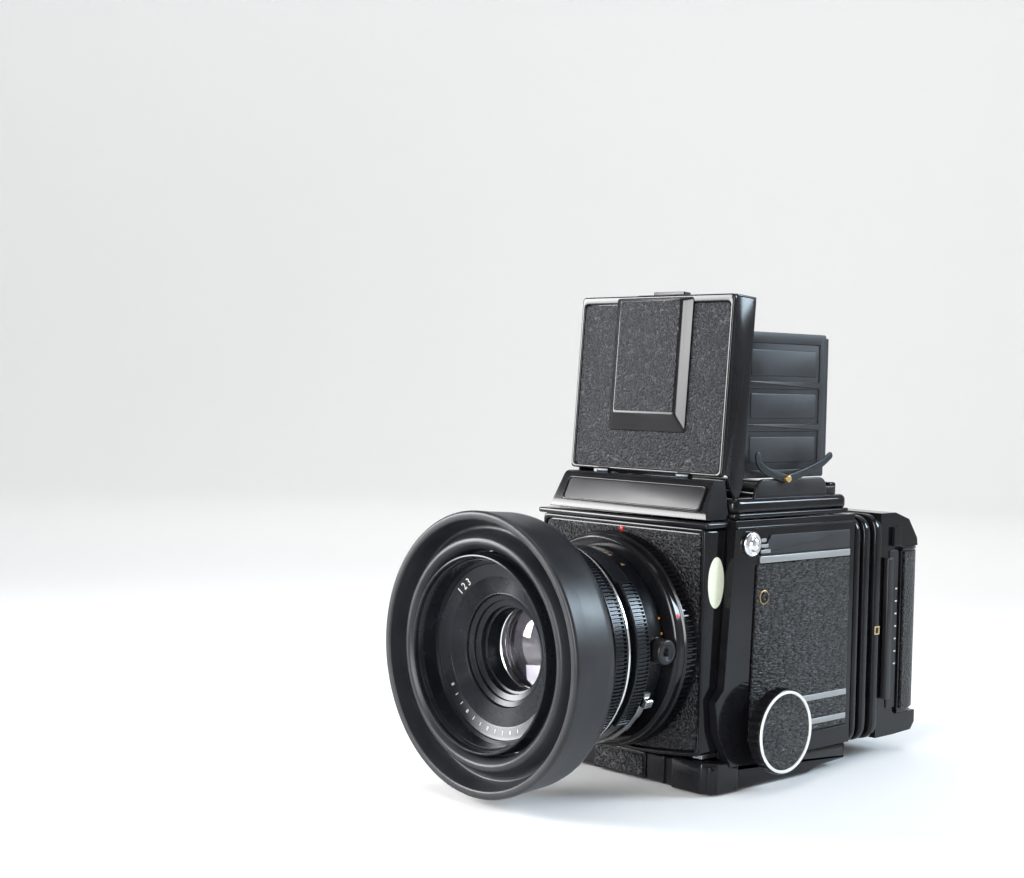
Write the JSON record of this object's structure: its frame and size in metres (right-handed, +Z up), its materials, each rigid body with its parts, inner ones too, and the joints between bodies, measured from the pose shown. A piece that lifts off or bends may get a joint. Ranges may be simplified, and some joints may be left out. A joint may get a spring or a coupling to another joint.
{
  "type": "medium-format reflex camera",
  "caption": "Box-form reflex camera with bellows focusing, folding waist-level finder, rubber-hooded lens and revolving roll-film back.",
  "frame": {"origin": "centre of the width of the flat underside of the base, a little ahead of the tripod socket", "axes": "+Z up, the lens looks along -Y, +X is the viewer's left"},
  "size_m": [0.1274, 0.2371, 0.2097],
  "materials": {
    "gloss_black": "gloss",
    "satin_black": "satin",
    "matte_black": "matte",
    "leatherette": "pebbled",
    "chrome": "polished",
    "steel": "brushed",
    "hood_rubber": "matte",
    "lens_glass": "polished",
    "screen_glass": "ground",
    "mirror_face": "polished",
    "spool_plastic": "matte"
  },
  "bodies": {
    "camera_body": {"body_shell": "gloss_black", "side_leather_left": "leatherette", "side_leather_right": "leatherette", "strap_lug_left": "chrome", "strap_lug_right": "chrome", "base_plate": "gloss_black", "focusing_screen": "screen_glass", "finder_base": "satin_black", "nameplate_block": "gloss_black", "hood_stay_left": "steel", "hood_stay_right": "steel", "adapter_seat": "chrome"},
    "front_standard": {"front_standard": "gloss_black", "front_leather": "leatherette", "lens_flange": "chrome", "focus_rack_left": "steel", "focus_rack_right": "steel", "bellows": "leatherette", "lens_barrel": "gloss_black", "name_ring": "matte_black", "hood_mount_ring": "satin_black", "rubber_hood": "hood_rubber", "front_element": "lens_glass", "rear_element": "lens_glass", "iris_blades": "steel"},
    "mirror": {"mirror_frame": "satin_black", "mirror": "mirror_face"},
    "focus_shaft": {"focus_shaft": "steel", "focus_knob_left": "gloss_black", "focus_knob_right": "gloss_black"},
    "focus_lock": {"focus_lock_lever": "chrome"},
    "cocking_lever": {"cocking_lever": "gloss_black"},
    "shutter_button": {"shutter_button": "chrome"},
    "button_collar": {"button_collar": "satin_black"},
    "lens_lock_ring": {"lens_lock_ring": "gloss_black"},
    "shutter_speed_ring": {"shutter_speed_ring": "satin_black"},
    "aperture_ring": {"aperture_ring": "satin_black"},
    "preview_lever": {"preview_lever": "satin_black"},
    "mirror_up_knob": {"mirror_up_knob": "satin_black"},
    "lid": {"lid": "gloss_black", "lid_leather": "leatherette"},
    "lid_catch": {"lid_catch": "satin_black"},
    "magnifier": {"magnifier_frame": "satin_black", "magnifier_lens": "lens_glass"},
    "hood_panel_left": {"hood_panel_left": "matte_black"},
    "hood_panel_right": {"hood_panel_right": "matte_black"},
    "hood_panel_rear": {"hood_panel_rear": "matte_black"},
    "revolving_back": {"revolving_adapter": "gloss_black", "film_back_frame": "satin_black"},
    "back_lock": {"back_lock": "chrome"},
    "back_door": {"back_door": "gloss_black", "door_leather": "leatherette", "pressure_plate": "steel"},
    "door_latch": {"door_latch": "steel"},
    "dark_slide": {"dark_slide": "steel"},
    "wind_lever": {"wind_lever": "gloss_black"},
    "supply_spool": {"supply_spool": "spool_plastic"},
    "takeup_spool": {"takeup_spool": "spool_plastic"}
  },
  "joints": [
    {"name": "focus_slide", "type": "slide", "parent": "camera_body", "child": "front_standard", "axis": [0, -1, 0], "range_m": [0, 0.046], "deforming": ["bellows"]},
    {"name": "focus_shaft_spin", "type": "hinge", "parent": "camera_body", "child": "focus_shaft", "pos_m": [0, -0.0134, 0.0248], "axis": [-1, 0, 0], "range_deg": [0, 440]},
    {"name": "mirror_flip", "type": "hinge", "parent": "camera_body", "child": "mirror", "pos_m": [0, 0.0364, 0.1024], "axis": [-1, 0, 0], "range_deg": [0, 44.5]},
    {"name": "focus_lock_turn", "type": "hinge", "parent": "camera_body", "child": "focus_lock", "pos_m": [-0.054, -0.0134, 0.0248], "axis": [1, 0, 0], "range_deg": [0, 30]},
    {"name": "cocking_lever_swing", "type": "hinge", "parent": "camera_body", "child": "cocking_lever", "pos_m": [-0.056, 0.002, 0.058], "axis": [1, 0, 0], "range_deg": [0, 90]},
    {"name": "shutter_press", "type": "slide", "parent": "camera_body", "child": "shutter_button", "axis": [0, 1, 0], "range_m": [0, 0.003], "stiffness_N_per_m": 400, "springref_m": -0.001},
    {"name": "button_collar_turn", "type": "hinge", "parent": "camera_body", "child": "button_collar", "pos_m": [-0.038, -0.045, 0.0062], "axis": [0, 1, 0], "range_deg": [0, 90]},
    {"name": "lens_lock_turn", "type": "hinge", "parent": "front_standard", "child": "lens_lock_ring", "pos_m": [0, -0.057, 0.0602], "axis": [0, 1, 0], "range_deg": [0, 45]},
    {"name": "shutter_speed_turn", "type": "hinge", "parent": "front_standard", "child": "shutter_speed_ring", "pos_m": [0, -0.094, 0.0602], "axis": [0, 1, 0], "range_deg": [0, 150]},
    {"name": "aperture_turn", "type": "hinge", "parent": "front_standard", "child": "aperture_ring", "pos_m": [0, -0.081, 0.0602], "axis": [0, 1, 0], "range_deg": [0, 80]},
    {"name": "preview_lever_turn", "type": "hinge", "parent": "front_standard", "child": "preview_lever", "pos_m": [0, -0.0738, 0.0602], "axis": [0, 1, 0], "range_deg": [0, 18]},
    {"name": "mirror_up_turn", "type": "hinge", "parent": "front_standard", "child": "mirror_up_knob", "pos_m": [0.043, -0.0692, 0.0612], "axis": [1, 0, 0], "range_deg": [0, 90]},
    {"name": "lid_lean", "type": "hinge", "parent": "camera_body", "child": "lid", "pos_m": [0, -0.034, 0.1308], "axis": [-1, 0, 0], "range_deg": [0, 4]},
    {"name": "lid_catch_press", "type": "slide", "parent": "lid", "child": "lid_catch", "axis": [0, 1, 0], "range_m": [0, 0.002], "stiffness_N_per_m": 200, "springref_m": -0.001},
    {"name": "magnifier_flip", "type": "hinge", "parent": "lid", "child": "magnifier", "pos_m": [0, -0.02683, 0.20132], "axis": [1, 0, 0], "range_deg": [0, 85]},
    {"name": "hood_left_fold", "type": "hinge", "parent": "camera_body", "child": "hood_panel_left", "pos_m": [0.042, 0.005, 0.1299], "axis": [0, -1, 0], "range_deg": [0, 90]},
    {"name": "hood_right_fold", "type": "hinge", "parent": "camera_body", "child": "hood_panel_right", "pos_m": [-0.042, 0.005, 0.132], "axis": [0, 1, 0], "range_deg": [0, 90]},
    {"name": "hood_rear_fold", "type": "hinge", "parent": "camera_body", "child": "hood_panel_rear", "pos_m": [0, 0.0366, 0.1343], "axis": [1, 0, 0], "range_deg": [0, 90]},
    {"name": "back_revolve", "type": "hinge", "parent": "camera_body", "child": "revolving_back", "pos_m": [0, 0.06, 0.0602], "axis": [0, 1, 0], "range_deg": [0, 90]},
    {"name": "back_lock_slide", "type": "slide", "parent": "revolving_back", "child": "back_lock", "axis": [1, 0, 0], "range_m": [0, 0.004]},
    {"name": "back_door_swing", "type": "hinge", "parent": "revolving_back", "child": "back_door", "pos_m": [-0.0518, 0.0844, 0.0575], "axis": [0, 0, 1], "range_deg": [0, 90]},
    {"name": "door_latch_slide", "type": "slide", "parent": "revolving_back", "child": "door_latch", "axis": [0, 0, 1], "range_m": [0, 0.003]},
    {"name": "dark_slide_pull", "type": "slide", "parent": "revolving_back", "child": "dark_slide", "axis": [1, 0, 0], "range_m": [0, 0.088]},
    {"name": "wind_lever_stroke", "type": "hinge", "parent": "revolving_back", "child": "wind_lever", "pos_m": [-0.054, 0.0788, 0.044], "axis": [1, 0, 0], "range_deg": [0, 90]},
    {"name": "takeup_spin", "type": "hinge", "parent": "revolving_back", "child": "takeup_spool", "pos_m": [0.038, 0.0864, 0.058], "axis": [0, 0, 1], "range_deg": [0, 270]},
    {"name": "supply_spin", "type": "hinge", "parent": "revolving_back", "child": "supply_spool", "pos_m": [-0.038, 0.0864, 0.058], "axis": [0, 0, 1], "range_deg": [0, 270]}
  ],
  "couplings": [
    {"joint": "focus_shaft_spin", "follows": "focus_slide", "rad_per_m": 166.67},
    {"joint": "takeup_spin", "follows": "wind_lever_stroke", "ratio": 3},
    {"joint": "supply_spin", "follows": "wind_lever_stroke", "ratio": 3}
  ]
}
